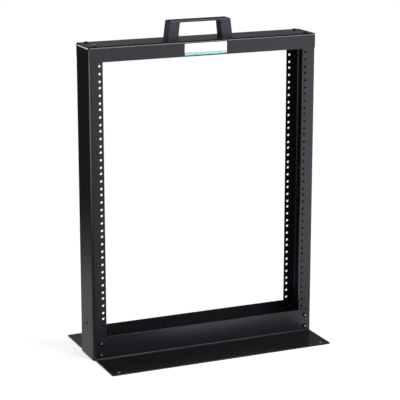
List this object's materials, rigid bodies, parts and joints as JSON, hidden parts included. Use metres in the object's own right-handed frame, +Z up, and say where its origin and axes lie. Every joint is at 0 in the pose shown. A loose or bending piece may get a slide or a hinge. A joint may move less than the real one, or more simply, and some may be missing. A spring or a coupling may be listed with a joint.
{
  "type": "two post open frame rack",
  "caption": "Free-standing two post open frame rack for a bench top, with drilled channel posts, two angle feet, a channel crossbar and a moulded carry handle.",
  "frame": {"origin": "on the floor, under the middle of the rack", "axes": "+X to the right as seen from the front, +Y from front to back, +Z up"},
  "size_m": [0.512, 0.2794, 0.7033],
  "materials": {
    "powder_coated_steel": "satin",
    "handle_plastic": "satin",
    "black_oxide_steel": "semi-gloss"
  },
  "bodies": {
    "root": {"left_post": "powder_coated_steel", "right_post": "powder_coated_steel", "top_crossbar": "powder_coated_steel", "front_base_angle": "powder_coated_steel", "rear_base_angle": "powder_coated_steel", "carry_handle": "handle_plastic", "left_handle_screw": "black_oxide_steel", "left_front_top_screw": "black_oxide_steel", "left_front_lower_bolt": "black_oxide_steel", "left_front_lower_nut": "black_oxide_steel", "left_front_upper_bolt": "black_oxide_steel", "left_front_upper_nut": "black_oxide_steel", "left_rear_top_screw": "black_oxide_steel", "left_rear_lower_bolt": "black_oxide_steel", "left_rear_lower_nut": "black_oxide_steel", "left_rear_upper_bolt": "black_oxide_steel", "left_rear_upper_nut": "black_oxide_steel", "right_handle_screw": "black_oxide_steel", "right_front_top_screw": "black_oxide_steel", "right_front_lower_bolt": "black_oxide_steel", "right_front_lower_nut": "black_oxide_steel", "right_front_upper_bolt": "black_oxide_steel", "right_front_upper_nut": "black_oxide_steel", "right_rear_top_screw": "black_oxide_steel", "right_rear_lower_bolt": "black_oxide_steel", "right_rear_lower_nut": "black_oxide_steel", "right_rear_upper_bolt": "black_oxide_steel", "right_rear_upper_nut": "black_oxide_steel"}
  },
  "joints": []
}
